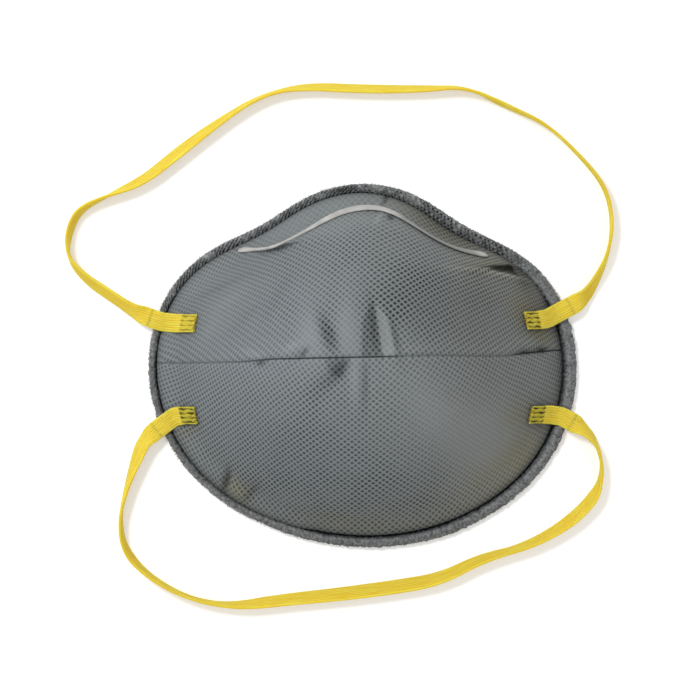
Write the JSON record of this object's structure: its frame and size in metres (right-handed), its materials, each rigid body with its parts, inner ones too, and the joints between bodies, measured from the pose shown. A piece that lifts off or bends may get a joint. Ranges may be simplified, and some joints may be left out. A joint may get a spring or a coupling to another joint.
{
  "type": "disposable dust mask",
  "caption": "Cup-shaped disposable dust mask of nested moulded webs with a welded rim, a bendable nose clip and two elastic head straps lying loosely beside it.",
  "frame": {"origin": "on the surface that the rim rests on, under the middle of the rim", "axes": "+X across the face to the right as seen from the front with the nose up, +Y towards the nose, +Z out through the front of the cup"},
  "size_m": [0.184, 0.1756, 0.044],
  "materials": {
    "cover_web": "embossed nonwoven, matt",
    "carbon_web": "carbon-loaded nonwoven, matt",
    "filter_web": "meltblown nonwoven, matt",
    "support_shell": "moulded polyester fibre, matt",
    "inner_lining": "soft nonwoven, matt",
    "edge_band": "welded and rolled nonwoven edge",
    "nose_clip": "soft annealed strip, satin",
    "nose_foam": "soft open-cell foam",
    "elastic": "yellow ribbed elastic"
  },
  "bodies": {
    "root": {"cover_web": "cover_web", "carbon_web": "carbon_web", "filter_web": "filter_web", "support_shell": "support_shell", "inner_lining": "inner_lining", "edge_band": "edge_band", "nose_clip": "nose_clip", "nose_foam": "nose_foam", "upper_left_strap_end": "elastic", "upper_right_strap_end": "elastic", "lower_left_strap_end": "elastic", "lower_right_strap_end": "elastic"},
    "upper_strap": {"upper_strap": "elastic"},
    "lower_strap": {"lower_strap": "elastic"}
  },
  "joints": [
    {"name": "upper_strap_swing", "type": "hinge", "parent": "root", "child": "upper_strap", "pos_m": [0, 0.01732, 0.00395], "axis": [0.9996, 0.0277, 0], "range_deg": [-90, 90]},
    {"name": "lower_strap_swing", "type": "hinge", "parent": "root", "child": "lower_strap", "pos_m": [0, -0.01991, 0.00395], "axis": [-0.9998, -0.0192, 0], "range_deg": [-90, 90]}
  ]
}
